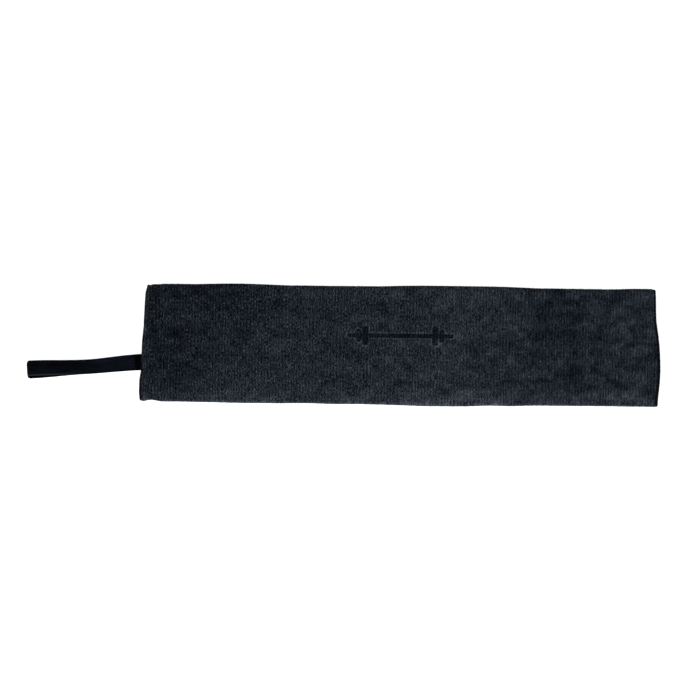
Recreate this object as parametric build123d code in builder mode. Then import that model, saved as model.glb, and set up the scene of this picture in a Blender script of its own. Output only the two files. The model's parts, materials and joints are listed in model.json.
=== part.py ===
"""A sports towel, folded concertina-fashion into a long flat stack, with a flat hanging loop.

The folded towel lies flat. X runs along its long side, Y runs across the folds and Z is up.
The origin is the centre of its underside. Sizes are in millimetres.

The cloth is cut into panels by fold lines that run along X. Line 0 is the free end of the
bottom panel, and the last line is the free end of the top panel. Even lines lie at the back
of the stack (+Y) and odd lines at the front (-Y). Panel n lies between lines n - 1 and n.
"""
from build123d import *
from math import cos, radians, sin
import os

os.makedirs("parts", exist_ok=True)

# cloth
hem_to_hem = 500.0  # width of the towel
cloth_length = 890.0  # length of the towel when it lies open
cloth_thickness = 1.8  # velour microfibre, as thick as it is in the stack
layer_count = 8
layer_gap = 0.3  # air between two layers
panel_end_gap = 0.1  # from a panel's end to the fold's axis

# edges
hem_width = 3.0  # overlocked edge
hem_round = 0.6
corner_radius = 2.7  # of the free ends' corners, inside the width of the hem
free_end_overhang = 1.2  # how far a free end reaches past the fold axes
back_pull_in = 1.2  # the back of the stack is this much narrower on each side
front_flare = 3.0  # the hems flare at the front folds
top_fold_flare = 0.8  # less so at the uppermost one

# hanging loop, two plies of flat tape
tape_width = 15.0
tape_thickness = 0.9
loop_hinge_x = -256.0
loop_root_y = -20.0
loop_length = 108.4  # from its hinge to its tip
loop_slant = 4.3  # degrees, towards the front
tip_radius = 3.2  # outside of the bend at the tip
level_run = 16.0  # stretch behind the tip where the plies lie level
sewn_run = 8.0  # stretch beside the hinge where the plies are one
tab_gap = 0.1  # between the loop's round root and the fixed tab
tack_width = 1.6
tack_length = 12.0
tack_height = 0.25

# pressed mark on the top panel, a plain barbell
mark_depth = 0.4
mark_y = 9.5
mark_length = 102.0
mark_bar = 2.4
large_disc = (4.0, 17.0)  # width and height, seen from the side
large_disc_x = 34.0  # from the middle of the bar
small_disc = (3.4, 10.8)
small_disc_x = 40.6
disc_round = 1.2

# care label on the reverse of the cloth
label_layer = 3
label_length = 38.0
label_width = 22.0
label_thickness = 0.12
label_lift = 0.03
label_hem_gap = 0.5

layer_pitch = cloth_thickness + layer_gap
panel_depth = cloth_length / layer_count
fold_y = panel_depth / 2
bend_inside = layer_gap / 2
bend_outside = bend_inside + cloth_thickness
front_end_y = -(fold_y - panel_end_gap)
back_end_y = fold_y - panel_end_gap
free_end_y = fold_y + free_end_overhang


def half_width(line):
    """Half the towel's width along a fold line."""
    if line % 2 == 0:
        return hem_to_hem / 2 - back_pull_in
    if line == layer_count - 1:
        return hem_to_hem / 2 + top_fold_flare
    return hem_to_hem / 2 + front_flare


def edge_x(panel, y):
    """Distance from the middle of the cloth to the outer edge of its hem, at y on a panel."""
    front = half_width(panel if panel % 2 else panel - 1)
    back = half_width(panel - 1 if panel % 2 else panel)
    return front + (back - front) * (y + fold_y) / panel_depth


def underside_z(panel):
    return (panel - 1) * layer_pitch


def has_free_end(panel):
    return panel in (1, layer_count)


def panel_back_y(panel):
    """Where the panel's cloth ends at the back: at a fold, or at the hem of a free end."""
    return free_end_y - hem_width if has_free_end(panel) else back_end_y


def save(part, name):
    part.label = name
    export_step(part, f"parts/{name}.step")


def barbell_sketch():
    """A bar with two discs at each end, centred on the mark."""
    with Locations((0, mark_y)):
        Rectangle(mark_length, mark_bar)
    for side in (-1, 1):
        with Locations((side * small_disc_x, mark_y)):
            RectangleRounded(*small_disc, radius=disc_round)
        with Locations((side * large_disc_x, mark_y)):
            RectangleRounded(*large_disc, radius=disc_round)


def make_panel(panel):
    front_x = edge_x(panel, front_end_y) - hem_width
    back_y = panel_back_y(panel)
    back_x = edge_x(panel, back_y) - hem_width
    with BuildPart() as cloth:
        with BuildSketch(Plane.XY.offset(underside_z(panel))):
            with BuildLine():
                Polyline(
                    (-front_x, front_end_y),
                    (front_x, front_end_y),
                    (back_x, back_y),
                    (-back_x, back_y),
                    close=True,
                )
            make_face()
        extrude(amount=cloth_thickness)
        if panel == layer_count:
            with BuildSketch(Plane.XY.offset(underside_z(panel) + cloth_thickness)):
                barbell_sketch()
            extrude(amount=-mark_depth, mode=Mode.SUBTRACT)
    save(cloth.part, f"cloth_panel_{panel}")


def make_side_hem(panel, side, side_name):
    back_y = panel_back_y(panel)
    front_x = edge_x(panel, front_end_y)
    back_x = edge_x(panel, back_y)
    with BuildPart() as hem:
        with BuildSketch(Plane.XY.offset(underside_z(panel))):
            with BuildLine():
                Polyline(
                    (side * (front_x - hem_width), front_end_y),
                    (side * front_x, front_end_y),
                    (side * back_x, back_y),
                    (side * (back_x - hem_width), back_y),
                    close=True,
                )
            make_face()
        extrude(amount=cloth_thickness)
        outer_face = hem.faces().sort_by(lambda face: side * face.center().X)[-1]
        fillet(outer_face.edges().sort_by(SortBy.LENGTH)[-2:], radius=hem_round)
    save(hem.part, f"{side_name}_hem_{panel}")


def make_end_hem(panel, name):
    inner_y = free_end_y - hem_width
    inner_x = edge_x(panel, inner_y)
    outer_x = edge_x(panel, free_end_y)
    with BuildPart() as hem:
        with BuildSketch(Plane.XY.offset(underside_z(panel))) as outline:
            with BuildLine():
                Polyline(
                    (-inner_x, inner_y),
                    (inner_x, inner_y),
                    (outer_x, free_end_y),
                    (-outer_x, free_end_y),
                    close=True,
                )
            make_face()
            fillet(outline.vertices().group_by(Axis.Y)[-1], radius=corner_radius)
        extrude(amount=cloth_thickness)
        outer_face = hem.faces().sort_by(Axis.Y)[-1]
        fillet(outer_face.edges().sort_by(SortBy.LENGTH)[-2:], radius=hem_round)
    save(hem.part, name)


def make_bend(line, low_x, high_x, name):
    """The half-round stretch of cloth or hem that joins the panels below and above a fold."""
    side = -1 if line % 2 else 1
    axis_z = line * layer_pitch - layer_gap / 2
    inward = Align.MIN if side < 0 else Align.MAX
    with BuildPart() as bend:
        with BuildSketch(Plane.YZ.offset(low_x)):
            with Locations((side * fold_y, axis_z)):
                Circle(bend_outside)
                Circle(bend_inside, mode=Mode.SUBTRACT)
                Rectangle(
                    2 * bend_outside,
                    2 * bend_outside,
                    align=(inward, Align.CENTER),
                    mode=Mode.SUBTRACT,
                )
        extrude(amount=high_x - low_x)
    save(bend.part, name)


for panel_number in range(1, layer_count + 1):
    make_panel(panel_number)
    make_side_hem(panel_number, -1, "left")
    make_side_hem(panel_number, 1, "right")

make_end_hem(1, "bottom_end_hem")
make_end_hem(layer_count, "top_end_hem")

for fold_line in range(1, layer_count):
    hem_edge = half_width(fold_line)
    cloth_edge = hem_edge - hem_width
    make_bend(fold_line, -cloth_edge, cloth_edge, f"cloth_fold_{fold_line}")
    make_bend(fold_line, -hem_edge, -cloth_edge, f"left_fold_hem_{fold_line}")
    make_bend(fold_line, cloth_edge, hem_edge, f"right_fold_hem_{fold_line}")

# The loop stands in its own upright plane: x runs from the hinge to the tip and y is up.
slant = radians(loop_slant)
loop_plane = Plane(
    origin=(loop_hinge_x, loop_root_y, 0),
    x_dir=(-cos(slant), -sin(slant), 0),
    z_dir=(-sin(slant), cos(slant), 0),
)
bend_x = loop_length - tip_radius
level_x = bend_x - level_run
loop_height = 2 * tip_radius
inner_radius = tip_radius - tape_thickness

with BuildPart() as hanging_loop:
    with BuildSketch(loop_plane):
        with BuildLine():
            Line((0, 0), (bend_x, 0))
            RadiusArc((bend_x, 0), (bend_x, loop_height), -tip_radius)
            Line((bend_x, loop_height), (level_x, loop_height))
            Line((level_x, loop_height), (0, 2 * tape_thickness))
            Line((0, 2 * tape_thickness), (0, 0))
        make_face()
        with Locations((0, tape_thickness)):
            Circle(tape_thickness)
        with BuildLine():
            Line((sewn_run, tape_thickness), (bend_x, tape_thickness))
            RadiusArc(
                (bend_x, tape_thickness),
                (bend_x, loop_height - tape_thickness),
                -inner_radius,
            )
            Line((bend_x, loop_height - tape_thickness), (level_x, loop_height - tape_thickness))
            Line((level_x, loop_height - tape_thickness), (sewn_run, tape_thickness))
        make_face(mode=Mode.SUBTRACT)
    extrude(amount=tape_width / 2, both=True)
save(hanging_loop.part, "hanging_loop")

# The tab is the end of the tape that is sewn into the bottom panel's left hem.
tab_end = tape_thickness + tab_gap
front_corner = Vector(loop_plane.from_local_coords((-tab_end, 0, -tape_width / 2)))
back_corner = Vector(loop_plane.from_local_coords((-tab_end, 0, tape_width / 2)))
with BuildPart() as loop_tab:
    with BuildSketch(Plane.XY):
        with BuildLine():
            Polyline(
                (front_corner.X, front_corner.Y),
                (-edge_x(1, front_corner.Y), front_corner.Y),
                (-edge_x(1, back_corner.Y), back_corner.Y),
                (back_corner.X, back_corner.Y),
                close=True,
            )
        make_face()
    extrude(amount=2 * tape_thickness)
save(loop_tab.part, "loop_tab")

with BuildPart() as loop_bar_tack:
    tack_x = (loop_hinge_x + tab_end - edge_x(1, loop_root_y)) / 2
    with BuildSketch(Plane.XY.offset(2 * tape_thickness)):
        with Locations((tack_x, loop_root_y)):
            SlotOverall(tack_length, tack_width, rotation=90)
    extrude(amount=tack_height)
save(loop_bar_tack.part, "loop_bar_tack")

with BuildPart() as care_label:
    label_z = underside_z(label_layer) + cloth_thickness + label_lift
    label_edge = edge_x(label_layer, 0) - hem_width
    with BuildSketch(Plane.XY.offset(label_z)):
        with Locations((label_edge - label_length / 2 - label_hem_gap, 0)):
            Rectangle(label_length, label_width)
    extrude(amount=label_thickness)
save(care_label.part, "care_label")
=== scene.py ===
"""The looks of a folded sports towel with a hanging loop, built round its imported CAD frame.

Everything is in metres, in the frame's own axes: X along the towel's long side, Y across the
folds, Z up. The cloth is followed by two flat coordinates, x across the towel and `along`, the
distance from the bottom layer's free end, so that pile and colour run on over every fold.
Line n is the fold between panel n and panel n + 1. Odd folds are at the front, -Y.
"""
import json
import math

import bpy
import numpy as np
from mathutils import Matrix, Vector


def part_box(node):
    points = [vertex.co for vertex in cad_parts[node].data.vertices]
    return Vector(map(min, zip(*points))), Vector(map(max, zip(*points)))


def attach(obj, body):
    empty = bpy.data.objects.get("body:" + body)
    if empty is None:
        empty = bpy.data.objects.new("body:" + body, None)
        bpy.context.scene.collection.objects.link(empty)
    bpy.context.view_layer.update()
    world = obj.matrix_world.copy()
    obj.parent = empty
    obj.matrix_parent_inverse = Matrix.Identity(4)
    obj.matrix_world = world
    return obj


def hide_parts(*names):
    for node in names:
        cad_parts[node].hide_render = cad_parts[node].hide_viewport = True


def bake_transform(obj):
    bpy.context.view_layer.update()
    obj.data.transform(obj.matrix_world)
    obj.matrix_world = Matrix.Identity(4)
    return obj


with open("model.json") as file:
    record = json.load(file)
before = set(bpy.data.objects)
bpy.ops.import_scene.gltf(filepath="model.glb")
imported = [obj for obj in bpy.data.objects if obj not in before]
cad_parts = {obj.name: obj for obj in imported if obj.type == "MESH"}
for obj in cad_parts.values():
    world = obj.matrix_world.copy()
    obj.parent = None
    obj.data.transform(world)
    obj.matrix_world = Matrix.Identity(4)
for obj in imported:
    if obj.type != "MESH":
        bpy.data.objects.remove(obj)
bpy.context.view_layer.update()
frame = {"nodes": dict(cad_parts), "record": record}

MM = 0.001
RECORD = frame["record"]

# ---------------------------------------------------------------- the frame's own sizes

JOINTS = {joint["name"]: joint for joint in RECORD["behaviour"]["joints"]}
LAYERS = sum(name.startswith("cloth_panel_") for name in frame["nodes"])
FOLD_Y = abs(JOINTS["fold_1"]["pos_m"][1])
DEPTH = 2 * FOLD_Y
LOWEST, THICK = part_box("cloth_panel_1")[0][2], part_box("cloth_panel_1")[1][2]
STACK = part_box(f"cloth_panel_{LAYERS}")[1][2]
FREE_END_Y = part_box("top_end_hem")[1][1]
HEM_WIDTH = FREE_END_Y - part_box("top_end_hem")[0][1]
BEND_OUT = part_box("cloth_fold_1")[1][2] / 2 - LOWEST
BEND_IN = BEND_OUT - THICK
BEND_ARC = math.pi * (BEND_OUT + BEND_IN) / 2

# ---------------------------------------------------------------- looks

PILE = 0.30 * MM  # how much the pile's height varies
PILE_BASE = 0.12 * MM  # the pile starts this far inside the cloth's CAD faces
WALE = 2.95 * MM  # pitch of the faint ribs that run across the folds
STITCH = 1.9 * MM  # pitch of the overlock stitches
CLOTH_INSET = 0.8 * MM  # from the hem's outer edge to the cut edge of the cloth inside it
TOP_INSETS = {-1: 0.25 * MM, 1: 1.6 * MM}  # the same on the left and right of the top layer
TOP_BACK_INSET = 0.25 * MM  # and at its free end
TAPE_WIDTH = 15 * MM
FOLD_GAP = 0.04 * MM  # from a layer's end to the fold's axis
FLOOR_CLEAR = 0.02 * MM  # left under the lowest faces, before the swell moves them
SWELL = 0.42 * MM  # how much the layers lift unevenly, at the top of the stack


def smooth(t):
    """0 below 0, 1 above 1, with a soft step between."""
    t = np.clip(t, 0.0, 1.0)
    return t * t * (3 - 2 * t)


def lattice(i, j, seed):
    """A repeatable number from 0 to 1 for each cell of a grid."""
    mixed = np.sin(i * 127.1 + j * 311.7 + seed * 74.7) * 43758.5453
    return mixed - np.floor(mixed)


def noise(u, v, seed):
    """Smooth random height from 0 to 1, about one unit from bump to bump."""
    u, v = np.broadcast_arrays(np.asarray(u, float), np.asarray(v, float))
    i, j = np.floor(u), np.floor(v)
    fu, fv = smooth(u - i), smooth(v - j)
    low = lattice(i, j, seed) * (1 - fu) + lattice(i + 1, j, seed) * fu
    high = lattice(i, j + 1, seed) * (1 - fu) + lattice(i + 1, j + 1, seed) * fu
    return low * (1 - fv) + high * fv


def bell(value, middle, reach, power=2):
    """1 at the middle, falling softly towards 0 beyond the reach."""
    return np.exp(-np.abs((value - middle) / reach) ** power)


def triples(a, b, c):
    """Three numbers for each point. A single number holds for all the points."""
    return np.stack(np.broadcast_arrays(a, b, c), -1)


def directions(path):
    """The direction of a path at each of its points."""
    step = np.gradient(path, axis=0)
    return step / np.linalg.norm(step, axis=1)[:, None]


def distances(path):
    """How far along a path each of its points lies."""
    steps = np.linalg.norm(np.diff(path, axis=0), axis=1)
    return np.concatenate([[0], np.cumsum(steps)])


def wale_count(x, along):
    """How many ribs lie between the middle of the towel and a point. They wander a little."""
    return x / WALE + 0.7 * noise(x / (9 * MM), along / (26 * MM), 1)


def pile_height(x, along, reverse):
    """The pile's height over the cloth: wales, tufts drawn out along them, and soft clumps."""
    seed = 50 if reverse else 0
    wales = 0.5 + 0.5 * np.cos(2 * math.pi * wale_count(x, along))
    tufts = noise(x / (1.9 * MM), along / (7 * MM), seed + 2)
    clumps = noise(x / (13 * MM), along / (10 * MM), seed + 3)
    return PILE * (0.25 * wales + 0.4 * tufts + 0.35 * clumps)


def nap(x, along, painted_light=0.0):
    """How light the lie of the pile makes the cloth, in broad soft areas, plus painted light: 0 to
    1, and up to 1.4 with painted highlight. The last argument is painted highlight, as on the
    outside of a fold, or painted shade where it is below 0."""
    from_front = along - along_at(LAYERS, -FOLD_Y)  # on the top layer
    at_front = smooth(1 - from_front / (80 * MM))
    at_back = bell(from_front, 92 * MM, 38 * MM)
    at_free_end = smooth((from_front - 70 * MM) / (30 * MM))
    dark_left = 0.34 * bell(x, -250 * MM, 95 * MM) * (1.1 - 0.75 * at_front)
    dark_right = 0.20 * bell(x, 152 * MM, 42 * MM) * at_back
    dark_end = 0.17 * bell(x, -115 * MM, 65 * MM) * at_free_end
    light_middle = 0.07 * bell(x, 60 * MM, 90 * MM)
    stroked = 0.22 * (noise(x / (55 * MM), along / (34 * MM), 71) - 0.5)
    # Painted highlight is added here, or painted shade where the last argument is below 0.
    light = 0.5 - dark_left - dark_right - dark_end + light_middle + stroked + 0.45 * painted_light
    return np.clip(light, 0, 1.4)


def fold_highlight(x, along):
    """Painted highlight on the outside of a fold, in uneven tufts."""
    broad = noise(x / (23 * MM), along / (9 * MM), 91)
    tufts = noise(x / (3.1 * MM), along / (2.6 * MM), 92)
    return 0.15 + 0.9 * broad + 0.6 * (tufts - 0.5)


def swell(x, y, z):
    """How far a point of the stack is lifted: the layers lie a little unevenly on each other."""
    across = np.clip(1 - (y / FOLD_Y) ** 4, 0, 1)
    wave = np.sin(x / 0.047 + 0.9) + 0.7 * np.sin(x / 0.029 - y / 0.03 + 2.1)
    return SWELL * (z / STACK) * across * wave


# ---------------------------------------------------------------- outline of each layer

BACK_TUCK = 1.4 * MM  # how far the left end of each back fold is drawn in
FRONT_STEP = 0.7 * MM  # how far the lower front folds are shifted to the left
CORNER = {-1: 7.5 * MM, 1: 3.4 * MM}  # radius of the free ends' left and right corners


def has_free_end(panel):
    return panel in (1, LAYERS)


def half_width(line, side):
    """Half the towel's width at a fold line, or at a free end, which is as wide as a back fold."""
    fold = 2 if line in (0, LAYERS) else line
    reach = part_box(f"right_fold_hem_{fold}")[1][0]
    if fold % 2 == 0:
        return reach - BACK_TUCK if side < 0 and line not in (0, LAYERS) else reach
    if fold < LAYERS - 1:
        return reach - side * FRONT_STEP
    return reach


def bulges(panel, side):
    """Where a panel's hem bows outwards: (middle y, reach, height)."""
    if side > 0:
        return [(-13 * MM, 31 * MM, 3.3 * MM if panel > 4 else 1.2 * MM)]
    if panel == LAYERS:
        return [(-4 * MM, 18 * MM, 2.0 * MM), (-40 * MM, 12 * MM, 0.9 * MM)]
    return [(-44 * MM, 14 * MM, 1.35 * MM if panel > 3 else 0.6 * MM)]


def edge(panel, side, y):
    """Distance from the middle of the towel to the outer edge of its hem."""
    front = half_width(panel if panel % 2 else panel - 1, side)
    back_line = panel - 1 if panel % 2 else panel
    tuck = half_width(back_line, 1) - half_width(back_line, side)
    back = half_width(back_line, side) + tuck
    out = front + (back - front) * (y + FOLD_Y) / DEPTH
    out = out - tuck * bell(y, FOLD_Y, 4.5 * MM)
    fade = np.clip(1 - (y / FOLD_Y) ** 8, 0, 1)
    for middle, reach, height in bulges(panel, side):
        out = out + height * fade * bell(y, middle, reach, power=3)
    waver = noise(y / (7 * MM), panel * 3.7, 20 + side) - 0.5
    return out + 0.35 * MM * waver * fade


def along_at(panel, y):
    """Distance along the cloth from the bottom layer's free end."""
    inside = FOLD_Y - y if panel % 2 else FOLD_Y + y
    return (panel - 1) * (DEPTH + BEND_ARC) + inside


def bend_reach(line, x):
    """How far a fold's bend stands proud of a plain half-round one. The top fold sets the
    towel's front outline, which bows out a little in the middle."""
    ripple = 0.7 * MM * (noise(x / (31 * MM), line * 5.3, 31) - 0.5)
    dent = 1.6 * MM * bell(x, -242 * MM, 6.5 * MM)
    if line == LAYERS - 1:
        bow = 1.7 * MM * bell(x, 30 * MM, 70 * MM)
        wear_and_painted_light = 1.4 * MM * smooth((x - 190 * MM) / (45 * MM))
        full = 0.4 * MM * bell(x, -115 * MM, 45 * MM) + 0.6 * MM * bell(x, 107 * MM, 12 * MM)
        return bow + full - 0.35 * MM - 0.0022 * x + ripple - dent - wear_and_painted_light
    return ripple - 0.9 * MM * lattice(line, 2.0, 5) - dent


def free_edge(x):
    """How far the top layer's free end stands out beyond a straight one."""
    middle = 1.8 * MM * bell(x, 55 * MM, 74 * MM, power=4)
    left = 1.6 * MM * bell(x, -158 * MM, 44 * MM)
    right = 1.2 * MM * smooth((x - 192 * MM) / (40 * MM))
    return middle + left + right


def corner_cut(y, side):
    """How much of a free end's half width its rounded corner takes away."""
    inside = np.clip((y - (FREE_END_Y - CORNER[side])) / CORNER[side], 0, 1)
    return CORNER[side] * (1 - np.sqrt(1 - inside**2))


# ---------------------------------------------------------------- pressed shapes

MARK_Y = 9.5 * MM
MARK_REACH = 10.5 * MM  # the rows of points are close together this far on each side of the mark
MARK_DEPTH = 0.6 * MM
MARK_BAR = (51 * MM, 1.2 * MM, 0.9 * MM)  # half width, half height and corner radius
MARK_DISCS = {  # from the middle of the bar: half width, half height and corner radius
    34 * MM: (2 * MM, 8.5 * MM, 1.2 * MM),
    40.6 * MM: (1.7 * MM, 5.4 * MM, 1.2 * MM),
}


def box_distance(x, y, middle, half, radius):
    """Signed distance to a rounded rectangle, negative inside."""
    dx = np.abs(x - middle[0]) - half[0] + radius
    dy = np.abs(y - middle[1]) - half[1] + radius
    outside = np.hypot(np.maximum(dx, 0), np.maximum(dy, 0))
    return outside + np.minimum(np.maximum(dx, dy), 0) - radius


def barbell_outline(x, y):
    """Signed distance to the outline of a plain barbell, negative inside."""
    near = box_distance(x, y, (0, MARK_Y), MARK_BAR[:2], MARK_BAR[2])
    for disc_x, (half_wide, half_tall, radius) in MARK_DISCS.items():
        for side in (-1, 1):
            middle = (side * disc_x, MARK_Y)
            near = np.minimum(near, box_distance(x, y, middle, (half_wide, half_tall), radius))
    return near


def pressed_mark(x, y):
    """How deeply the mark is pressed in, from 0 to 1, deepest along its outline. The velour is
    also painted darker by it, a painted shade. Then a painted highlight along its outer lip. The
    left half is pressed a little less."""
    near = barbell_outline(x, y)
    outline = bell(near, 0, 0.8 * MM)
    inside = smooth(0.5 - near / (0.9 * MM))
    # Painted highlight along the mark's outer lip.
    lip_highlight = bell(near, 1.6 * MM, 0.6 * MM)
    evenness = 0.88 + 0.12 * smooth(0.5 + x / (45 * MM))
    return np.maximum(outline, 0.75 * inside) * evenness, lip_highlight


LABEL_LOW, LABEL_HIGH = (Vector(corner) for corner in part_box("care_label"))


def label_bed(x, y):
    """1 where the care label presses the pile flat, 0 outside."""
    middle = (LABEL_LOW + LABEL_HIGH) / 2
    half = (LABEL_HIGH - LABEL_LOW) / 2
    near = box_distance(x, y, middle, half, MM)
    return smooth(1 - near / (1.2 * MM))


# ---------------------------------------------------------------- meshes


def add_mesh(name, points, faces, material, flat, pile=None):
    """A smooth mesh piece with outward faces. flat is its place on the flat cloth. pile is a
    cloth's wale count, nap with painted highlight and shade, and pressed depth, which also sets a
    painted shade, a tape's painted highlight, painted shade and painted highlight near its root,
    or where a hem's stitches stand high, painted lighter there and darker between them."""
    points = np.asarray(points, float).reshape(-1, 3)
    mesh = bpy.data.meshes.new(name)
    mesh.from_pydata(points, [], faces)
    mesh.polygons.foreach_set("use_smooth", np.ones(len(mesh.polygons), bool))
    mesh.set_sharp_from_angle(angle=math.radians(70))
    if signed_volume(mesh, points) < 0:
        mesh.flip_normals()
    for attribute, values in (("cloth_at", flat), ("pile", pile)):
        if values is not None:
            layer = mesh.attributes.new(attribute, "FLOAT_VECTOR", "POINT")
            layer.data.foreach_set("vector", np.asarray(values, np.float32).ravel())
    mesh.materials.append(material)
    piece = bpy.data.objects.new(name, mesh)
    bpy.context.scene.collection.objects.link(piece)
    return piece


def signed_volume(mesh, points):
    mesh.calc_loop_triangles()
    corners = np.zeros(3 * len(mesh.loop_triangles), np.int32)
    mesh.loop_triangles.foreach_get("vertices", corners)
    a, b, c = (points[corners[i::3]] for i in range(3))
    return float((a * np.cross(b, c)).sum())


def grid_faces(rows, columns, first=0, closed=False):
    """Quads over a grid of points, joined round to the first column when closed."""
    r = np.arange(rows - 1)[:, None]
    c = np.arange(columns if closed else columns - 1)[None, :]
    right = (c + 1) % columns
    low, high = r * columns, (r + 1) * columns
    corners = (low + c, low + right, high + right, high + c)
    return np.stack([first + k + 0 * (low + c) for k in corners], -1).reshape(-1, 4).tolist()


def shell_faces(rows, columns):
    """Faces of a closed shell of two skins, each a grid of rows by columns points."""
    second = rows * columns
    faces = grid_faces(rows, columns)
    faces += [quad[::-1] for quad in grid_faces(rows, columns, second)]
    rim = [(0, c) for c in range(columns)]
    rim += [(r, columns - 1) for r in range(1, rows)]
    rim += [(rows - 1, c) for c in range(columns - 2, -1, -1)]
    rim += [(r, 0) for r in range(rows - 2, 0, -1)]
    rim = [r * columns + c for r, c in rim]
    for here, there in zip(rim, rim[1:] + rim[:1]):
        faces.append([here, second + here, second + there, there])
    return faces


def tube_faces(rows, columns):
    """Faces of a closed tube of rows rings, with a flat cap at each end."""
    faces = grid_faces(rows, columns, closed=True)
    faces.append(list(range(columns))[::-1])
    faces.append(list(range((rows - 1) * columns, rows * columns)))
    return faces


def superellipse(count, power):
    """Points round a rounded rectangle of half size 1 by 1."""
    angle = 2 * math.pi * np.arange(count) / count
    wide, tall = np.cos(angle), np.sin(angle)
    size = (np.abs(wide) ** power + np.abs(tall) ** power) ** (-1 / power)
    return angle, wide * size, tall * size


# ---------------------------------------------------------------- materials


class Shader:
    """A material's node tree, with short calls for the nodes that the cloths share."""

    def __init__(self, name, roughness, specular, sheen=0.0, sheen_tint=(1, 1, 1)):
        self.material = bpy.data.materials.new(name)
        self.material.use_nodes = True
        self.tree = self.material.node_tree
        self.shader = self.tree.nodes["Principled BSDF"]
        self.set(self.shader, "Roughness", roughness)
        self.set(self.shader, "Specular IOR Level", specular)
        self.set(self.shader, "Sheen Weight", sheen)
        self.set(self.shader, "Sheen Roughness", 0.22)
        self.set(self.shader, "Sheen Tint", (*sheen_tint, 1))

    @staticmethod
    def set(node, socket, value):
        node.inputs[socket].default_value = value

    def join(self, out, node, socket):
        if hasattr(out, "outputs"):
            out = out.outputs[0]
        if hasattr(out, "is_linked"):
            self.tree.links.new(out, node.inputs[socket])
        else:
            node.inputs[socket].default_value = out

    def place(self, attribute="cloth_at"):
        """The point's place on the flat cloth."""
        node = self.tree.nodes.new("ShaderNodeAttribute")
        node.attribute_name = attribute
        return node.outputs["Vector"]

    def pile(self):
        """The three numbers of the piece's pile attribute."""
        node = self.tree.nodes.new("ShaderNodeSeparateXYZ")
        self.join(self.place("pile"), node, 0)
        return node.outputs

    def right_part(self, place):
        """0 over the left half of the towel, rising to 1 near its right end."""
        node = self.tree.nodes.new("ShaderNodeSeparateXYZ")
        self.join(place, node, 0)
        rising = self.math("MULTIPLY", node.outputs["X"], 1 / (160 * MM))
        return self.math("MINIMUM", self.math("MAXIMUM", rising, 0.0), 1.0)

    def spots(self, place, pitch, detail=2.0, rough=0.5, distortion=0.0):
        """Noise whose spots are about pitch = (x, along, depth) metres in size."""
        scale = self.tree.nodes.new("ShaderNodeVectorMath")
        scale.operation = "MULTIPLY"
        self.join(place, scale, 0)
        scale.inputs[1].default_value = [1 / p for p in pitch]
        node = self.tree.nodes.new("ShaderNodeTexNoise")
        self.join(scale, node, "Vector")
        for socket, number in (
            ("Scale", 1.0), ("Detail", detail), ("Roughness", rough), ("Distortion", distortion),
        ):
            self.set(node, socket, number)
        return node.outputs["Fac"]

    def math(self, operation, a, b):
        node = self.tree.nodes.new("ShaderNodeMath")
        node.operation = operation
        self.join(a, node, 0)
        self.join(b, node, 1)
        return node.outputs[0]

    def weighted(self, *pairs):
        """The sum of each (output, weight)."""
        total = None
        for out, weight in pairs:
            part = self.math("MULTIPLY", out, weight)
            total = part if total is None else self.math("ADD", total, part)
        return total

    def ramp(self, factor, stops):
        """A colour from (position, colour) stops."""
        node = self.tree.nodes.new("ShaderNodeValToRGB")
        self.join(factor, node, "Fac")
        elements = node.color_ramp.elements
        while len(elements) < len(stops):
            elements.new(0.5)
        for element, (position, colour) in zip(elements, stops):
            element.position = position
            element.color = (*colour, 1)
        return node.outputs["Color"]

    def mix(self, factor, a, b):
        node = self.tree.nodes.new("ShaderNodeMix")
        node.data_type = "RGBA"
        self.join(factor, node, 0)
        self.join(a, node, 6)
        self.join(b, node, 7)
        return node.outputs[2]

    def finish(self, colour, height, depth, strength=1.0):
        """Connects the colour and a bump of the given depth in metres."""
        self.join(colour, self.shader, "Base Color")
        bump = self.tree.nodes.new("ShaderNodeBump")
        self.set(bump, "Strength", strength)
        self.set(bump, "Distance", depth)
        self.join(height, bump, "Height")
        self.join(bump.outputs["Normal"], self.shader, "Normal")
        return self.material


DARK_TINT = (0.56, 1.0, 1.64)
MID_TINT = (0.77, 1.0, 1.33)
LIGHT_TINT = (0.87, 1.0, 1.22)


def shade(level, tint):
    """A dark blue-grey of the given lightness, in linear light."""
    return tuple(level * part for part in tint)


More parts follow.
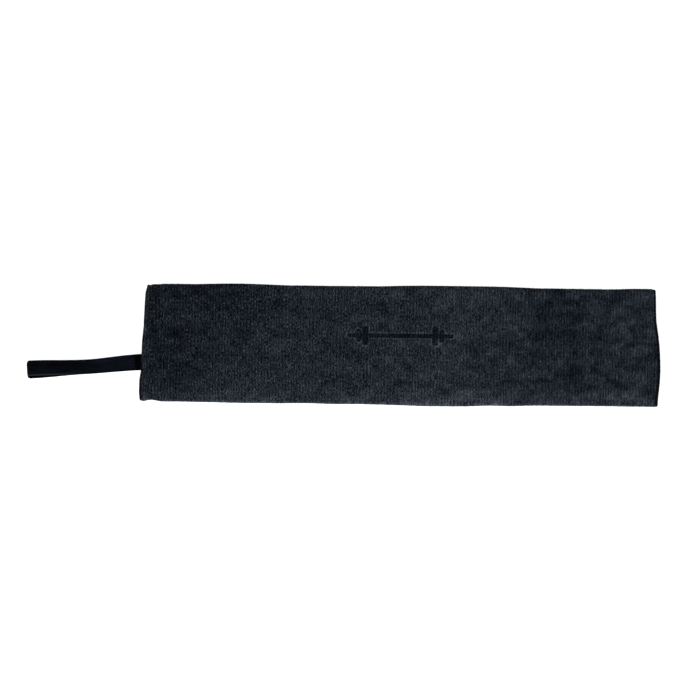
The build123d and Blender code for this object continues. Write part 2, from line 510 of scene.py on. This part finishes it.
def make_velour():
    """Microfibre velour: fine flecks of pile drawn out along the wales, with darker patches
    where the nap has been brushed the other way, painted highlight and painted shade carried with
    the nap, and painted shade in the pressed mark."""
    s = Shader("velour", roughness=0.95, specular=0.0, sheen=0.5, sheen_tint=(0.72, 0.88, 1.0))
    at = s.place()
    # The second pile number is the nap together with painted highlight and painted shade.
    wale_count, nap_and_painted_light, pressed = s.pile()
    wales = s.math("COSINE", s.math("MULTIPLY", wale_count, 2 * math.pi), 0.0)
    flecks = s.spots(at, (0.68 * MM, 2.2 * MM, 2 * MM), detail=2, rough=0.7)
    streaks = s.spots(at, (1.0 * MM, 8 * MM, 3 * MM), detail=2)
    patches = s.spots(at, (16 * MM, 12 * MM, 20 * MM), detail=3, rough=0.6, distortion=0.6)
    mixed = s.weighted(
        (flecks, 0.97), (streaks, 0.35), (patches, 0.22), (wales, 0.027), (nap_and_painted_light, 0.165)
    )
    smoother = s.weighted((flecks, -0.41), (patches, 0.09), (1.0, 0.165))
    mixed = s.math("ADD", mixed, s.math("MULTIPLY", s.right_part(at), smoother))
    colour = s.ramp(s.math("SUBTRACT", mixed, 0.132), [
        (0.60, shade(0.0010, DARK_TINT)),
        (0.69, shade(0.0060, MID_TINT)),
        (0.78, shade(0.0156, MID_TINT)),
        (0.90, shade(0.0420, LIGHT_TINT)),
        (1.00, shade(0.0660, LIGHT_TINT)),
    ])
    # Painted shade in the pressed mark.
    colour = s.mix(s.math("MULTIPLY", pressed, 0.9), colour, (*shade(0.0015, DARK_TINT), 1))
    height = s.weighted((flecks, 0.55), (streaks, 0.35), (wales, 0.10))
    return s.finish(colour, height, 0.35 * MM, 0.9)


def make_thread(name, level):
    """Twisted polyester thread, a little shinier than the cloth, painted lighter on the stitches'
    ridges and darker between them, a painted shade.
    """
    s = Shader(name, roughness=0.5, specular=0.01, sheen=0.10, sheen_tint=(0.5, 0.7, 1.0))
    at = s.place()
    ridge, _, _ = s.pile()
    fibres = s.spots(at, (0.9 * MM, 0.14 * MM, MM), detail=2)
    wear_and_painted_light = s.spots(at, (5 * MM, 7 * MM, 5 * MM), detail=2)
    # The ridge term is painted shade between the stitches.
    mixed = s.weighted((fibres, 0.4), (wear_and_painted_light, 0.25), (ridge, 0.45))
    tint = (0.85, 0.95, 1.4)
    colour = s.ramp(mixed, [
        (0.30, shade(level * 0.1, tint)),
        (0.58, shade(level * 0.8, tint)),
        (0.85, shade(level * 2.6, tint)),
    ])
    height = s.weighted((fibres, 0.5), (ridge, 0.5))
    return s.finish(colour, height, 0.1 * MM, 0.9)


def make_webbing():
    """Flat woven tape: fine picks across it, and warp threads that catch the light, with painted
    highlight and painted shade from its pile numbers.
    """
    s = Shader("webbing", roughness=0.5, specular=0.006, sheen=0.25, sheen_tint=(0.4, 0.6, 1.0))
    at = s.place()
    tape_highlight, shaded, root_highlight = s.pile()
    picks = s.spots(at, (0.45 * MM, 0.9 * MM, MM), detail=2)
    warp = s.spots(at, (0.9 * MM, 30 * MM, 5 * MM), detail=3)
    wear_and_painted_light = s.spots(at, (5 * MM, 14 * MM, 5 * MM), detail=3)
    # The last term is a painted highlight near the root.
    mixed = s.weighted((picks, 0.30), (warp, 0.40), (wear_and_painted_light, 0.3), (root_highlight, 0.065))
    tint = (0.72, 0.92, 1.7)
    colour = s.ramp(mixed, [
        (0.40, shade(0.0002, tint)),
        (0.56, shade(0.0022, tint)),
        (0.72, shade(0.0072, tint)),
    ])
    # Painted highlight on the threads, then painted shade at the root, back edge and lower ply.
    thread_highlight = s.math("MULTIPLY", tape_highlight, s.weighted((picks, 1.1), (warp, 0.7)))
    colour = s.mix(thread_highlight, colour, (*shade(0.0180, (0.85, 0.95, 1.2)), 1))
    colour = s.mix(shaded, colour, (*shade(0.0003, tint), 1))
    return s.finish(colour, s.weighted((picks, 0.6), (warp, 0.4)), 0.12 * MM, 0.9)


def make_satin():
    """Pale woven label satin with a faint weave."""
    s = Shader("label_satin", roughness=0.45, specular=0.4, sheen=0.1)
    at = s.place()
    weave = s.spots(at, (0.25 * MM, 1.6 * MM, MM), detail=2)
    soiled = s.spots(at, (9 * MM, 7 * MM, 5 * MM), detail=3)
    mixed = s.weighted((weave, 0.5), (soiled, 0.5))
    colour = s.ramp(mixed, [(0.3, (0.36, 0.36, 0.35)), (0.7, (0.52, 0.52, 0.50))])
    return s.finish(colour, weave, 0.03 * MM, 0.8)


VELOUR = make_velour()
HEM_THREAD = make_thread("hem_thread", 0.0014)
TACK_THREAD = make_thread("tack_thread", 0.0020)
WEBBING = make_webbing()
SATIN = make_satin()

# ---------------------------------------------------------------- cloth panels


def underside(panel):
    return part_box(f"cloth_panel_{panel}")[0][2]


def spread(low, high, fine_low, fine_high, coarse, fine):
    """Places from low to high: a fine pitch from fine_low to fine_high, a coarse one elsewhere."""
    before = np.linspace(low, fine_low, round((fine_low - low) / coarse), endpoint=False)
    within = np.linspace(fine_low, fine_high, round((fine_high - fine_low) / fine), endpoint=False)
    after = np.linspace(fine_high, high, round((high - fine_high) / coarse))
    return np.concatenate([before, within, after])


def back_inset(panel):
    """From the outer edge of a free end's hem to the cut edge of the cloth inside it."""
    return TOP_BACK_INSET if panel == LAYERS else CLOTH_INSET


def panel_grid(panel):
    """The rows of points from front to back, and the columns' shares from left to right. Both
    are closer together across the pressed mark, and the rows at a free end's rounded corners."""
    front = FOLD_GAP - FOLD_Y
    back = FREE_END_Y - back_inset(panel) if has_free_end(panel) else FOLD_Y - FOLD_GAP
    if panel < LAYERS:
        rows = np.linspace(front, back, 52)
        share = np.linspace(0, 1, 560)
    else:
        fine_front, fine_back = MARK_Y - MARK_REACH, MARK_Y + MARK_REACH
        rows = spread(front, back, fine_front, fine_back, 3.3 * MM, 0.5 * MM)
        share = spread(0.0, 1.0, 0.39, 0.61, 0.0018, 0.00125)
    if has_free_end(panel):
        corner = back - np.linspace(0, 1, 9) ** 2 * 7 * MM
        rows = np.unique(np.concatenate([rows[rows < back - 8 * MM], corner]))
    return rows[:, None], share[None, :]


def panel_plan(panel):
    """The layer's points seen from above, x and y, and its left and right edge at each row."""
    y, share = panel_grid(panel)
    inset = TOP_INSETS if panel == LAYERS else {-1: CLOTH_INSET, 1: CLOTH_INSET}
    left = -(edge(panel, -1, y) - inset[-1])
    right = edge(panel, 1, y) - inset[1]
    if has_free_end(panel):
        left = left + corner_cut(y + back_inset(panel), -1)
        right = right - corner_cut(y + back_inset(panel), 1)
    x = left + (right - left) * share
    y = y + 0 * x
    if panel == LAYERS:
        y = y + free_edge(x) * smooth(y / FOLD_Y)
    return x, y, left, right


def panel_heights(panel, x, y, to_edge, pressed):
    """The heights of the layer's upper and lower face, which both sink towards its hems."""
    along = along_at(panel, y)
    low, high = underside(panel), underside(panel) + THICK
    face_up = panel % 2 == 0
    up = high - PILE_BASE + pile_height(x, along, not face_up)
    down = low + PILE_BASE - pile_height(x, along, face_up)
    up = up - MARK_DEPTH * pressed - 0.5 * (up - high) * pressed
    rolled = np.clip(1 - to_edge / (2.4 * MM), 0, 1) ** 2
    up = up - (0.5 if panel == LAYERS else 0.75) * MM * rolled
    down = down + 0.5 * MM * rolled
    if 0.5 * (low + high) < LABEL_LOW.z < high + BEND_IN:
        up = up - (up - high + 0.05 * MM) * label_bed(x, y)
    down = np.maximum(down, LOWEST + FLOOR_CLEAR)
    lift = swell(x, y, (low + high) / 2)
    return up + lift, down + lift


def make_panel(panel):
    """One layer of the cloth, a closed slab with pile on both faces."""
    x, y, left, right = panel_plan(panel)
    along = along_at(panel, y)
    pressed, lip_highlight = pressed_mark(x, y) if panel == LAYERS else (0 * x, 0 * x)
    to_edge = np.minimum(x - left, right - x)
    if has_free_end(panel):
        proud = free_edge(x) if panel == LAYERS else 0.0
        to_edge = np.minimum(to_edge, FREE_END_Y - back_inset(panel) + proud - y)
    heights = panel_heights(panel, x, y, to_edge, pressed)
    points = np.stack([triples(x, y, z) for z in heights])
    flat = np.stack([triples(x, along, depth) for depth in (0.0, THICK)])
    # Painted highlight along the front fold, round the mark's lip and along the left edge.
    painted_light = fold_highlight(x, along) * bell(y, -FOLD_Y, 9 * MM) + 1.3 * lip_highlight
    painted_light = painted_light + 0.7 * bell(x, left + 0.6 * MM, 2.2 * MM)
    wale, lie = wale_count(x, along), nap(x, along, painted_light)
    pile = np.stack([triples(wale, lie, mask) for mask in (pressed, 0.0)])
    piece = add_mesh(f"cloth_layer_{panel}", points, shell_faces(*x.shape), VELOUR, flat, pile)
    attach(piece, f"panel_{panel}")
    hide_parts(f"cloth_panel_{panel}")
    return piece


def bend_frame(line):
    """The fold's side, -1 at the front or 1 at the back, and the height of its axis."""
    return (-1 if line % 2 else 1), JOINTS[f"fold_{line}"]["pos_m"][2]


def blend_fold(piece):
    """Bakes the piece's placement into its points."""
    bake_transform(piece)


def along_bend(line, turn):
    """Distance along the cloth from the bottom layer's free end, on a bend."""
    return line * DEPTH + (line - 1) * BEND_ARC + (turn / math.pi + 0.5) * BEND_ARC


def bend_point(line, x, turn, radius):
    """A point on a bend. turn runs from -90 degrees, on the layer below, to 90, on the layer
    above."""
    side, axis_z = bend_frame(line)
    out = radius * np.cos(turn) + bend_reach(line, x) * np.sqrt(np.clip(np.cos(turn), 0, 1))
    return triples(x, side * (FOLD_Y + out), axis_z + radius * np.sin(turn))


def make_bend(line):
    """The soft bend of cloth at a fold, between the two layers that it joins. The pile stands
    open round its outside, in small tufts, and is painted lighter there, a painted highlight. Its
    inner face is painted darker, a painted shade."""
    top = line == LAYERS - 1
    columns, steps = (1240, 35) if top else (660, 25)
    turn = np.linspace(-math.pi / 2, math.pi / 2, steps)[:, None]
    left, right = (side * (half_width(line, side) - CLOTH_INSET) for side in (-1, 1))
    x = np.linspace(left, right, columns)[None, :] + 0 * turn
    turn = turn + 0 * x
    along = along_bend(line, turn)
    outer_reverse = line % 2 == 0
    tufts = noise(x / (1.7 * MM), along / (1.3 * MM), line + 80) - 0.35
    tufts = 0.28 * MM * tufts * np.sqrt(np.clip(np.cos(turn), 0, 1))
    outer = BEND_OUT - PILE_BASE + 0.6 * pile_height(x, along, outer_reverse) + tufts
    inner = BEND_IN + PILE_BASE - 0.6 * pile_height(x, along, not outer_reverse)
    inner = np.maximum(inner, 0.01 * MM)
    points = np.stack([bend_point(line, x, turn, radius) for radius in (outer, inner)])
    points[..., 2] = np.maximum(points[..., 2], LOWEST + FLOOR_CLEAR)
    flat = np.stack([triples(x, along, depth) for depth in (0.0, THICK)])
    # Painted highlight round the outside of the bend, and painted shade on its inner face.
    painted_light = fold_highlight(x, along) + 1.5 * np.clip(np.cos(turn), 0, 1) ** 0.7
    lies = nap(x, along, painted_light), nap(x, along, -0.3)
    pile = np.stack([triples(wale_count(x, along), lie, 0.0) for lie in lies])
    piece = add_mesh(f"cloth_bend_{line}", points, shell_faces(*x.shape), VELOUR, flat, pile)
    blend_fold(piece)
    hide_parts(f"cloth_fold_{line}")
    return piece


# ---------------------------------------------------------------- overlocked hems

RING = 14  # points round a hem
HEM_THICK = THICK - 0.5 * MM
RING_STEP = 0.55 * MM  # from point to point round a hem, on its flat cloth


def stitched_ring(length, half_wide, half_thick):
    """Offsets (across, up) round a hem at each length along it, ridged by slanting stitches,
    and where the stitches stand high."""
    angle, wide, tall = superellipse(RING, 3.0)
    slant = length[:, None] / STITCH + 0.35 * wide[None, :]
    thread = np.abs(np.cos(math.pi * slant)) ** 0.6
    knot = np.exp(-((np.abs((angle + math.pi) % (2 * math.pi) - math.pi) / 0.5) ** 2))
    knot = knot[None, :] * (0.5 + 0.5 * np.cos(2 * math.pi * length[:, None] / STITCH))
    raised = 0.22 * MM * (thread - 0.75) + 0.18 * MM * knot
    across = half_wide * wide + raised * wide
    up = half_thick * tall + raised * tall
    return across, up, thread


def make_hem(name, nodes, centre, across, up, length, half_wide, half_thick):
    """A hem along a row of centre points; across points to its outer edge."""
    offset_across, offset_up, ridge = stitched_ring(length, half_wide, half_thick)
    points = (
        centre[:, None, :]
        + offset_across[..., None] * across[:, None, :]
        + offset_up[..., None] * up[:, None, :]
    )
    points[..., 2] = np.maximum(points[..., 2], LOWEST + FLOOR_CLEAR)
    flat = triples(np.arange(RING) * RING_STEP, length[:, None], 0.0)
    faces = tube_faces(len(length), RING)
    piece = add_mesh(name, points, faces, HEM_THREAD, flat, triples(ridge, 0.0, 0.0))
    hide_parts(*nodes)
    return piece


def hem_section(panel, side):
    """Half width, half thickness and height of the middle of a hem. The pile stands higher. The
    top layer's left hem has rolled under too."""
    middle = underside(panel) + THICK / 2
    if panel == LAYERS and side < 0:
        return HEM_WIDTH / 2, 0.5 * MM, middle - 0.4 * MM
    return HEM_WIDTH / 2, HEM_THICK / 2, middle


def make_side_hem(panel, side, side_name):
    back = FREE_END_Y - HEM_WIDTH / 2 - CORNER[side] if has_free_end(panel) else FOLD_Y
    y = np.linspace(-FOLD_Y, back, 330)
    half_wide, half_thick, middle = hem_section(panel, side)
    x = side * (edge(panel, side, y) - half_wide)
    centre = triples(x, y, middle + swell(x, y, middle))
    across = np.tile([side, 0.0, 0.0], (len(y), 1))
    up = np.tile([0.0, 0.0, 1.0], (len(y), 1))
    length = along_at(panel, y)
    name = f"{side_name}_overlock_{panel}"
    nodes = [f"{side_name}_hem_{panel}"]
    piece = make_hem(name, nodes, centre, across, up, length, half_wide, half_thick)
    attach(piece, f"panel_{panel}")
    return piece


def make_fold_hem(line, side, side_name):
    """The overlocked edge as it turns round a fold."""
    turn = np.linspace(-math.pi / 2, math.pi / 2, 25)
    half_wide = HEM_WIDTH / 2
    x = side * (half_width(line, side) - half_wide) + 0 * turn
    radius = (BEND_OUT + BEND_IN) / 2
    centre = bend_point(line, x, turn, radius)
    fold_side, _ = bend_frame(line)
    across = np.tile([side, 0.0, 0.0], (len(turn), 1))
    up = triples(0.0, fold_side * np.cos(turn), np.sin(turn))
    length = along_bend(line, turn)
    name = f"{side_name}_fold_overlock_{line}"
    nodes = [f"{side_name}_fold_hem_{line}"]
    piece = make_hem(name, nodes, centre, across, up, length, half_wide, HEM_THICK / 2)
    blend_fold(piece)
    return piece


def make_end_hem(panel, name, node):
    """The overlocked free end, with its two rounded corners. The top layer's has rolled under,
    all but its right corner, so that the cloth reaches the edge."""
    half_wide, half_thick, middle = hem_section(panel, 1)
    top_y = FREE_END_Y - half_wide
    corners = {}
    for side in (-1, 1):
        end_x = side * (edge(panel, side, top_y - CORNER[side]) - half_wide)
        turn = np.linspace(0, math.pi / 2, 16)
        arc = np.stack([side * (np.cos(turn) - 1), np.sin(turn) - 1], -1)
        corners[side] = arc * CORNER[side] + [end_x, top_y]
    left, right = corners[-1], corners[1][::-1]
    x = np.linspace(left[-1][0], right[0][0], 1500)[1:-1]
    path = np.concatenate([left, np.stack([x, 0 * x + top_y], -1), right])
    if panel == LAYERS:
        path[:, 1] += free_edge(path[:, 0]) * smooth(path[:, 1] / FOLD_Y)
    forward = directions(path)
    across = triples(-forward[:, 1], forward[:, 0], 0.0)
    length = distances(path)
    x, y = path.T
    if panel == LAYERS:
        _, thin, low = hem_section(panel, -1)
        tucked = smooth((x[-1] - x) / (12 * MM))
        half_thick = (half_thick + (thin - half_thick) * tucked)[:, None]
        middle = middle + (low - middle) * tucked
    centre = triples(x, y, middle + swell(x, y, middle))
    up = np.tile([0.0, 0.0, 1.0], (len(path), 1))
    piece = make_hem(name, [node], centre, across, up, length, half_wide, half_thick)
    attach(piece, f"panel_{panel}")
    return piece


# ---------------------------------------------------------------- hanging loop

TAPE_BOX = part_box("hanging_loop")
SWING = JOINTS["loop_swing"]
HINGE = np.array(SWING["pos_m"])
TAPE_THICK = 0.84 * MM
TIP_RADIUS = (TAPE_BOX[1][2] - TAPE_BOX[0][2]) / 2
LOOP_ALONG = np.array([-SWING["axis"][1], SWING["axis"][0], 0.0])
LOOP_ACROSS = np.array([-LOOP_ALONG[1], LOOP_ALONG[0], 0.0])
LOOP_LENGTH = (HINGE[0] - TAPE_BOX[0][0]) / abs(LOOP_ALONG[0])
TAPE_START = -4.2 * MM  # the tape's ends lie inside the hem, this far behind the hinge
PICK = 1.25 * MM  # pitch of the threads that cross the tape


def tape_side_view():
    """Out along the lower ply, round the tip and back along the upper ply: each row's distance
    from the hinge, its height, and how far it has come from the lower ply to the upper."""
    radius = TIP_RADIUS - TAPE_THICK / 2
    tip = LOOP_LENGTH - TIP_RADIUS
    out = np.arange(TAPE_START, tip, 0.33 * MM)
    lower = 0.5 * TAPE_THICK + FLOOR_CLEAR
    upper = 2 * TIP_RADIUS - lower
    turn = np.linspace(-math.pi / 2, math.pi / 2, 27)
    round_tip = np.stack([tip + radius * np.cos(turn), TIP_RADIUS + radius * np.sin(turn)], -1)
    back = out[::-1]
    joined = 1.5 * TAPE_THICK + 0.06 * MM
    opened = smooth((back - 6 * MM) / (tip - 16 * MM)) ** 0.85
    upper_run = np.stack([back, joined + (upper - joined) * opened], -1)
    lower_run = np.stack([out, 0 * out + lower], -1)
    rows = np.concatenate([lower_run, round_tip[1:-1], upper_run])
    ply = np.concatenate([0 * out, (np.sin(turn[1:-1]) + 1) / 2, 0 * back + 1])
    return rows, ply


def loop_sway(distance):
    """The loop's gentle S seen from above, sideways from its straight centre line."""
    share = np.clip(distance / LOOP_LENGTH, 0, 1)
    return -0.95 * MM * np.cos(2 * math.pi * share) - 0.45 * MM * smooth((share - 0.35) / 0.3)


def tape_section():
    """Places across the tape, -1 to 1, out on its upper face and back on its lower one, with
    the half thickness there."""
    upper = np.sin(np.linspace(-math.pi / 2, math.pi / 2, 46))
    across = np.concatenate([upper, upper[::-1][1:-1]])
    face = np.concatenate([np.ones(len(upper)), -np.ones(len(upper) - 2)])
    round_edge = np.sqrt(np.clip(1 - np.abs(across) ** 14, 0, 1))
    return across, face * round_edge


def tape_painted_light(distance, ply, across):
    """Painted light on the tape: painted highlight along the front selvedge near the tip and on
    the bend, painted shade at its root, along its back edge and on the lower ply, and painted
    highlight near the root."""
    selvedge = smooth((across - 0.80) / 0.08)
    near_tip = smooth((distance - LOOP_LENGTH + 62 * MM) / (40 * MM))
    at_tip = smooth((distance - LOOP_LENGTH + 4 * MM) / (2 * MM))
    on_bend = bell(ply, 0.75, 0.2) * at_tip
    # Painted highlight along the selvedge and on the bend.
    tape_highlight = 0.8 * selvedge * near_tip * smooth((ply - 0.6) / 0.3) + 0.16 * on_bend
    back_edge = smooth((-across - 0.86) / 0.06)
    root = smooth(1 - (distance - 2.2 * MM) / (2.2 * MM))
    # Painted shade.
    shaded = np.clip(0.95 * root + 0.6 * back_edge + 0.85 * smooth((0.4 - ply) / 0.3), 0, 1)
    # Painted highlight near the root.
    root_highlight = smooth(1 - (distance - 30 * MM) / (45 * MM))
    return triples(tape_highlight, shaded, root_highlight)


def make_loop():
    """The doubled tape. Its lower ply lies a little further forward than the upper one."""
    rows, ply = tape_side_view()
    distance, height = rows.T
    forward = directions(rows)
    length = distances(rows)
    across, face = tape_section()
    skew = 2.85 * MM * smooth((distance - LOOP_LENGTH + 58 * MM) / (55 * MM))
    skew = (1 - ply) * (skew + 0.9 * MM * (1 - smooth(distance / (50 * MM))))
    sideways = loop_sway(distance) + skew
    ribs = 0.05 * MM * np.cos(2 * math.pi * across * 3.5)[None, :]
    picks = np.cos(2 * math.pi * (length[:, None] / PICK + 1.5 * np.abs(across)[None, :]))
    half = TAPE_THICK / 2 + ribs + 0.035 * MM * picks
    out = face[None, :] * half
    width = TAPE_WIDTH / 2 - 0.3 * MM * bell(distance, 52 * MM, 30 * MM)
    width = width + 0.09 * MM * np.cos(2 * math.pi * length / PICK)
    at_tip = smooth((distance / LOOP_LENGTH - 0.97) * 30)[:, None]
    corner = np.where(across > 0, 0.5 * MM, 0.9 * MM)
    rounding = (corner * np.abs(across) ** 6)[None, :] * at_tip
    along = distance[:, None] - forward[:, 1:] * out - rounding
    up = height[:, None] + forward[:, :1] * out
    side = sideways[:, None] + width[:, None] * across[None, :]
    base = HINGE * [1, 1, 0]
    points = base + along[..., None] * LOOP_ALONG + side[..., None] * LOOP_ACROSS
    points[..., 2] = np.maximum(up, LOWEST + FLOOR_CLEAR)
    flat = triples(across * TAPE_WIDTH / 2, length[:, None], face * MM)
    # Painted highlight and painted shade on the tape.
    wear_and_painted_light = tape_painted_light(distance[:, None], ply[:, None], across[None, :])
    faces = tube_faces(len(rows), len(across))
    piece = add_mesh("hanging_loop_tape", points, faces, WEBBING, flat, wear_and_painted_light)
    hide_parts("hanging_loop", "loop_tab")
    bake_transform(piece)
    return piece


def make_bar_tack():
    """Close zigzag stitching through both plies, beside the hem."""
    low, high = (np.array(corner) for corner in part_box("loop_bar_tack"))
    turns, round_thread = 24, 8
    radius = 0.19 * MM
    share = np.linspace(0, 1, turns * 10)
    zigzag = np.arcsin(np.sin(math.pi * turns * share)) * 2 / math.pi
    x = (low[0] + high[0]) / 2 + zigzag * ((high[0] - low[0]) / 2 - radius)
    y = low[1] + radius + share * (high[1] - low[1] - 2 * radius)
    z = high[2] - radius + 0.05 * MM - 0.12 * MM * np.abs(zigzag) ** 4
    path = triples(x, y, z)
    forward = directions(path)
    side = np.cross(forward, [0.0, 0.0, 1.0])
    side /= np.linalg.norm(side, axis=1)[:, None]
    up = np.cross(side, forward)
    angle = 2 * math.pi * np.arange(round_thread) / round_thread
    sideways = np.cos(angle)[:, None] * side[:, None, :]
    points = path[:, None, :] + radius * (sideways + np.sin(angle)[:, None] * up[:, None, :])
    flat = triples(angle * radius, share[:, None] * 60 * MM, 0.0)
    faces = tube_faces(len(path), round_thread)
    ridge = np.ones((len(path), round_thread))
    stitches = triples(ridge, 0.0, 0.0)
    piece = add_mesh("bar_tack_stitches", points, faces, TACK_THREAD, flat, stitches)
    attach(piece, "panel_1")
    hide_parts("loop_bar_tack")
    return piece


def make_label():
    """A blank woven label on the reverse of the cloth, caught in the right hem."""
    rows, columns = 45, 77
    v, u = np.meshgrid(np.linspace(-1, 1, rows), np.linspace(-1, 1, columns), indexing="ij")
    middle, half = (LABEL_LOW + LABEL_HIGH) / 2, (LABEL_HIGH - LABEL_LOW) / 2
    pull = 0.35 * MM * (1 - v**2) * np.abs(u) ** 3
    x = middle.x + u * half.x - np.sign(u) * pull
    y = middle.y + v * (half.y - 0.3 * MM * (1 - u**2))
    border = smooth((np.maximum(np.abs(v) * half.y - half.y, -half.y) + 1.6 * MM) / (0.4 * MM))
    weave = 0.012 * MM * np.cos(2 * math.pi * x / (1.1 * MM)) + 0.03 * MM * border
    lift = swell(x, y, middle.z)
    top = LABEL_HIGH.z + 0.06 * MM + weave + lift
    bottom = LABEL_LOW.z + lift
    points = np.stack([triples(x, y, z) for z in (top, bottom)])
    flat = np.stack([triples(x, y, depth) for depth in (0.0, MM)])
    piece = add_mesh("care_label_satin", points, shell_faces(rows, columns), SATIN, flat)
    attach(piece, "panel_3")
    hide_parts("care_label")
    return piece


# ---------------------------------------------------------------- the whole towel

for number in range(1, LAYERS + 1):
    layer = make_panel(number)
    trim = [make_side_hem(number, -1, "left"), make_side_hem(number, 1, "right")]
    if number == 1:
        trim.append(make_end_hem(1, "bottom_end_overlock", "bottom_end_hem"))
    if number == LAYERS:
        trim.append(make_end_hem(LAYERS, "top_end_overlock", "top_end_hem"))
    if number < LAYERS:
        trim.append(make_bend(number))
        trim.append(make_fold_hem(number, -1, "left"))
        trim.append(make_fold_hem(number, 1, "right"))
    if number == 3:
        trim.append(make_label())

tape = make_loop()
tack = make_bar_tack()

# ---------------------------------------------------------------- studio


def make_floor():
    """A plain pale studio floor."""
    mesh = bpy.data.meshes.new("studio_floor")
    reach = 12.0
    corners = [(-reach, -reach, 0), (reach, -reach, 0), (reach, reach, 0), (-reach, reach, 0)]
    mesh.from_pydata(corners, [], [(0, 1, 2, 3)])
    s = Shader("light_table", roughness=0.9, specular=0.1)
    s.set(s.shader, "Base Color", (0.86, 0.86, 0.86, 1))
    s.set(s.shader, "Emission Color", (1, 1, 1, 1))
    s.set(s.shader, "Emission Strength", 0.35)
    mesh.materials.append(s.material)
    floor = bpy.data.objects.new("studio_floor", mesh)
    bpy.context.scene.collection.objects.link(floor)


def make_light(name, place, aim, size, power):
    light = bpy.data.lights.new(name, "AREA")
    light.shape = "SQUARE"
    light.size = size
    light.energy = power
    lamp = bpy.data.objects.new(name, light)
    lamp.location = place
    direction = Vector(aim) - Vector(place)
    lamp.rotation_euler = direction.to_track_quat("-Z", "Y").to_euler()
    lamp.visible_camera = False
    bpy.context.scene.collection.objects.link(lamp)


def make_world(strength):
    world = bpy.data.worlds.new("studio_air")
    world.use_nodes = True
    background = world.node_tree.nodes["Background"]
    background.inputs["Color"].default_value = (1, 1, 1, 1)
    background.inputs["Strength"].default_value = strength
    bpy.context.scene.world = world


def make_camera():
    """Straight above, on a long lens, turned a little so that the towel lies slightly aslant."""
    distance = 4.0
    view_width = 682.5 * MM  # across the picture, at the top layer
    aim = Vector((-48.8 * MM, -5.0 * MM, 0))
    camera = bpy.data.cameras.new("camera")
    camera.sensor_width = 36
    camera.lens = camera.sensor_width * (distance - STACK) / view_width
    holder = bpy.data.objects.new("camera", camera)
    holder.location = (aim.x, aim.y, distance)
    holder.rotation_euler = (0, 0, math.radians(0.7))
    bpy.context.scene.collection.objects.link(holder)
    bpy.context.scene.camera = holder


make_floor()
make_world(0.75)
make_light("front_softbox", (-0.2, -1.7, 1.5), (0, 0, 0), 1.3, 42)
make_light("top_softbox", (0.1, 0.3, 2.2), (0, 0, 0), 1.8, 30)
make_camera()
bpy.context.scene.view_settings.view_transform = "Standard"
